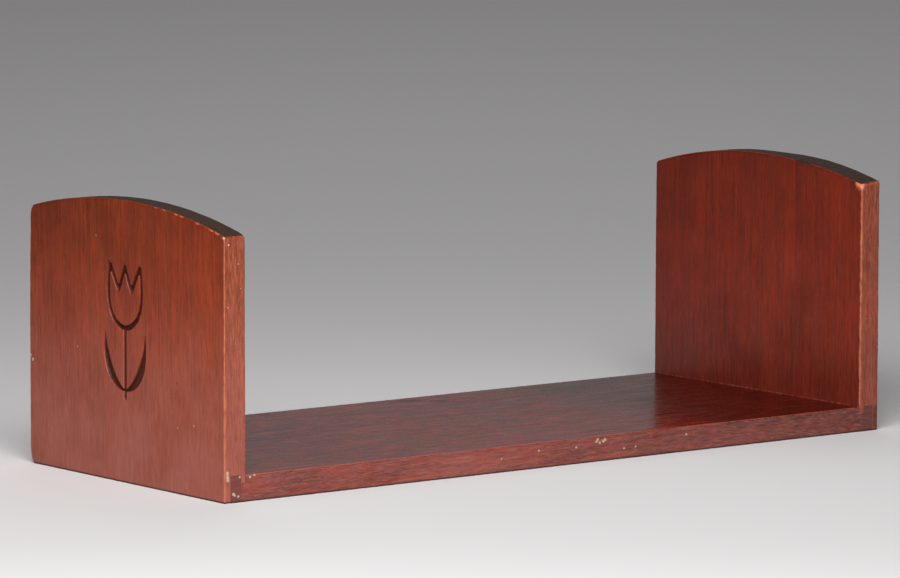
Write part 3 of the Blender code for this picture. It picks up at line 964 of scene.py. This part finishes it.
    # The carving darkens with its depth: partly dirt in the cuts, partly painted shade on its walls and
    # floor.
    sunk = recipe.number("sunk")
    carving_dirt_and_shade = recipe.between(sunk, 0.05, 0.6, 0, 0.9)
    colour = recipe.mix(carving_dirt_and_shade, colour, tint(stain, 0.14))
    pale = recipe.spots(PALE_SPECKS[name], recipe.times(ragged, 0.95))
    colour = recipe.mix(recipe.times(pale, 0.8), colour, tint(colours().filler))
    recipe.feed(colour, recipe.shader.inputs["Base Color"])

    smooth = 0.15 if grain == 0 else 0.3
    rough = recipe.between(scuff, 0.3, 0.7, smooth, smooth + 0.1)
    rough = recipe.plus(rough, recipe.between(streak, 0.35, 0.65, -0.06, 0.12))
    rough = recipe.plus(rough, recipe.between(brown, 0, 0.35, -0.03, 0.08))
    rough = recipe.plus(rough, recipe.times(pores, 0.1))
    rough = recipe.plus(rough, recipe.times(on_edge, 0.1))
    for dull, amount in ((end_grain_and_contact_shadow, 0.45), (carving_dirt_and_shade, 0.3), (pale, 0.3), (dark, 0.2), (scuffed, 0.25)):
        rough = recipe.plus(rough, recipe.times(dull, amount), clamp=True)
    recipe.feed(rough, recipe.shader.inputs["Roughness"])
    relief = recipe.math("SUBTRACT", recipe.times(streak, 0.6), pores)
    if grain == 0:
        swell = grained(7 * MM, 24 * MM, 2, 0.5, 0.5)
        relief = recipe.plus(recipe.times(relief, 0.2), swell)
    recipe.bump(relief, 0.006 * MM if grain == 0 else 0.02 * MM)
    recipe.shader.inputs["IOR"].default_value = 1.52
    recipe.shader.inputs["Specular IOR Level"].default_value = sheen
    return recipe.material


def brass():
    """Aged brass: dull yellow metal that browns in patches."""
    recipe = Recipe("aged_brass")
    patch = recipe.between(recipe.noise(recipe.stretch((1.6 * MM,) * 3), 4, 0.6), 0.35, 0.68)
    colour = recipe.mix(patch, tint(colours().brass), tint((0.16, 0.09, 0.045)))
    recipe.feed(colour, recipe.shader.inputs["Base Color"])
    recipe.feed(recipe.between(patch, 0, 1, 0.3, 0.6), recipe.shader.inputs["Roughness"])
    recipe.shader.inputs["Metallic"].default_value = 1.0
    scratch = recipe.noise(recipe.stretch((0.12 * MM, 1.2 * MM, 0.5 * MM)), 2)
    recipe.bump(scratch, 0.02 * MM)
    return recipe.material


# ---- Stage ----

CAMERA_PLACE = Vector((-1.8952, -2.4499, 0.4579))
CAMERA_HEADING = math.radians(37.603)
CAMERA_DROP = math.radians(6.920)
CAMERA_ROLL = math.radians(0.153)
LENS = 241.145  # mm on a 36 mm sensor
FLOOR_RADIUS = 14.0
BACKDROP_DIRECTION = (0.59, 0.77, 0.2)
BACKDROP_LIGHT = 0.22
ROOM_LIGHT = 0.035


def soft_light(name, place, target, width, height, watts, colour):
    """A rectangular studio light at a place, turned to look at a target."""
    light = bpy.data.lights.new(name, "AREA")
    light.shape = "RECTANGLE"
    light.size, light.size_y = width, height
    light.energy = watts
    light.color = colour
    obj = bpy.data.objects.new(name, light)
    bpy.context.scene.collection.objects.link(obj)
    obj.location = place
    obj.rotation_euler = (Vector(target) - Vector(place)).to_track_quat("-Z", "Y").to_euler()


def build_floor():
    """A round paper floor: rings of radius r from the rack's middle, at height zero."""
    radius = np.array((0.0, 0.6, 1.5, 4.0, FLOOR_RADIUS))[1:, None]
    angle = np.linspace(0, math.tau, 97)[:-1][None, :]
    ring = np.stack([radius * np.cos(angle), radius * np.sin(angle), 0 * radius * angle], -1)
    points = np.concatenate([ring.reshape(-1, 3), [[0, 0, 0]]])
    number = np.arange(ring.shape[0] * 96).reshape(-1, 96)
    following = np.roll(number, -1, axis=1)
    quads = np.stack([number[:-1], number[1:], following[1:], following[:-1]], -1).reshape(-1, 4)
    centre = np.column_stack([number[0], following[0], np.full(96, len(points) - 1)])
    mesh = bpy.data.meshes.new("floor")
    mesh.from_pydata(points.tolist(), [], quads.tolist() + centre.tolist())
    obj = bpy.data.objects.new("floor", mesh)
    bpy.context.scene.collection.objects.link(obj)
    return obj


def paper():
    """Pale matt paper with painted shade: darker towards the front of the stage, where front is the side
    that faces the camera's place."""
    recipe = Recipe("floor_paper")
    floor = colours().floor
    # Painted shade: the paper turns darker towards the front and lighter behind the rack.
    inputs = {0: recipe.place, 1: (math.sin(CAMERA_HEADING), math.cos(CAMERA_HEADING), 0)}
    away = recipe.add("ShaderNodeVectorMath", inputs, operation="DOT_PRODUCT").outputs["Value"]
    colour = recipe.mix(recipe.between(away, -0.35, 0.02), tint(floor, 0.92), tint(floor, 1.12))
    recipe.feed(colour, recipe.shader.inputs["Base Color"])
    recipe.shader.inputs["Roughness"].default_value = 0.9
    recipe.shader.inputs["Specular IOR Level"].default_value = 0.0
    return recipe.material


def build_world():
    """Dim surroundings with one pale backdrop: its glow grows with the cosine of the angle to the
    backdrop's middle."""
    world = bpy.data.worlds.new("studio")
    world.use_nodes = True
    nodes, links = world.node_tree.nodes, world.node_tree.links
    toward = nodes.new("ShaderNodeVectorMath")
    toward.operation = "DOT_PRODUCT"
    toward.inputs[1].default_value = BACKDROP_DIRECTION
    glow = nodes.new("ShaderNodeMapRange")
    glow.interpolation_type = "SMOOTHSTEP"
    limits = {"From Min": 0.72, "From Max": 0.99, "To Min": ROOM_LIGHT, "To Max": BACKDROP_LIGHT}
    for label, value in limits.items():
        glow.inputs[label].default_value = value
    links.new(nodes.new("ShaderNodeTexCoord").outputs["Generated"], toward.inputs[0])
    links.new(toward.outputs["Value"], glow.inputs["Value"])
    links.new(glow.outputs[0], nodes["Background"].inputs["Strength"])
    nodes["Background"].inputs["Color"].default_value = (1.0, 0.985, 0.98, 1)
    bpy.context.scene.world = world


def build_camera():
    """The camera, placed by its heading from +Y, its drop below level and its roll."""
    data = bpy.data.cameras.new("camera")
    data.lens = LENS
    data.sensor_width = 36
    data.clip_start, data.clip_end = 0.1, 100
    camera = bpy.data.objects.new("camera", data)
    bpy.context.scene.collection.objects.link(camera)
    heading = Matrix.Rotation(-CAMERA_HEADING, 4, "Z")
    drop = Matrix.Rotation(math.pi / 2 - CAMERA_DROP, 4, "X")
    roll = Matrix.Rotation(CAMERA_ROLL, 4, "Z")
    camera.matrix_world = Matrix.Translation(CAMERA_PLACE) @ heading @ drop @ roll
    bpy.context.scene.camera = camera


# ---- Operators, sidebar panel and registration ----


class RACK_OT_board(bpy.types.Operator):
    """Builds the base board with its grooves and worn arrises"""

    bl_idname = "rack.build_board"
    bl_label = "Base Board"

    def execute(self, context):
        shown = colours()
        material = wood(
            "board_mahogany", shown.board, shown.board_edge, shown.board_worn, 0, 2.5, 2,
            painted_shade=(1, 1, 1), floor_reflection=0, sheen=0.5,
        )
        build_board("grooved_board", material)
        return {"FINISHED"}


class RACK_OT_panels(bpy.types.Operator):
    """Builds the two arched end panels, the left one carved"""

    bl_idname = "rack.build_panels"
    bl_label = "End Panels"

    def execute(self, context):
        shown = colours()
        edge, worn = shown.panel_edge, shown.worn
        left = wood(
            "left_panel_mahogany", shown.panel, edge, worn, 2, 1.2, 5,
            painted_shade=(1.06, 0.95, 0.69), floor_reflection=1.2, sheen=0.24,
        )
        right = wood(
            "right_panel_mahogany", shown.right_panel, edge, worn, 2, -0.8, 8,
            painted_shade=(0.78, 1.15, 0.93), floor_reflection=0.2, sheen=0.32,
        )
        build_panel("carved_left_panel", -1, "left_end_panel", left, LEFT_LOOK)
        build_panel("plain_right_panel", 1, "right_end_panel", right, RIGHT_LOOK)
        return {"FINISHED"}


class RACK_OT_screws(bpy.types.Operator):
    """Gives the six wood screws their brass"""

    bl_idname = "rack.finish_screws"
    bl_label = "Screws"

    def execute(self, context):
        material = brass()
        for name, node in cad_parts.items():
            if "screw" in name:
                node.data.materials.clear()
                node.data.materials.append(material)
        return {"FINISHED"}


class RACK_OT_stage(bpy.types.Operator):
    """Sets up the floor, the lights, the surroundings and the camera"""

    bl_idname = "rack.set_stage"
    bl_label = "Stage"

    def execute(self, context):
        build_floor().data.materials.append(paper())
        build_world()
        soft_light("key", (-0.72, -0.76, 0.84), (-0.14, -0.21, 0.03), 1.0, 0.65, 20.6, (1.0, 0.985, 0.97))
        soft_light("fill", (-0.85, -2.1, 0.65), (0, 0, 0.05), 1.9, 0.9, 16.5, (1.0, 0.99, 0.985))
        soft_light("backdrop", (1.9, 2.4, 2.6), (1.9, 2.4, 0.0), 3, 3, 20, (1.0, 0.975, 0.965))
        soft_light("backdrop_low", (0.8, 1.05, 1.4), (0.8, 1.05, 0.0), 1.2, 1.2, 2.4, (1.0, 0.98, 0.97))
        build_camera()
        context.scene.view_settings.view_transform = "Standard"
        return {"FINISHED"}


class RACK_PT_sidebar(bpy.types.Panel):
    """Lists the rack's pieces, sizes and colours"""

    bl_label = "Book Rack"
    bl_space_type = "VIEW_3D"
    bl_region_type = "UI"
    bl_category = "Book Rack"

    def draw(self, context):
        for group in (context.scene.rack_sizes, context.scene.rack_colours):
            column = self.layout.column(align=True)
            for name in group.__annotations__:
                column.prop(group, name)
        for operator in OPERATORS:
            self.layout.operator(operator.bl_idname)


OPERATORS = (RACK_OT_stage, RACK_OT_board, RACK_OT_panels, RACK_OT_screws)
CLASSES = (RackSizes, RackColours, *OPERATORS, RACK_PT_sidebar)


def register():
    for cls in CLASSES:
        bpy.utils.register_class(cls)
    bpy.types.Scene.rack_sizes = bpy.props.PointerProperty(type=RackSizes)
    bpy.types.Scene.rack_colours = bpy.props.PointerProperty(type=RackColours)


def unregister():
    del bpy.types.Scene.rack_colours
    del bpy.types.Scene.rack_sizes
    for cls in reversed(CLASSES):
        bpy.utils.unregister_class(cls)


def main():
    """Registers the add-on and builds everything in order."""
    register()
    bpy.ops.rack.set_stage()
    bpy.ops.rack.build_board()
    bpy.ops.rack.build_panels()
    bpy.ops.rack.finish_screws()


if __name__ == "__main__":
    main()
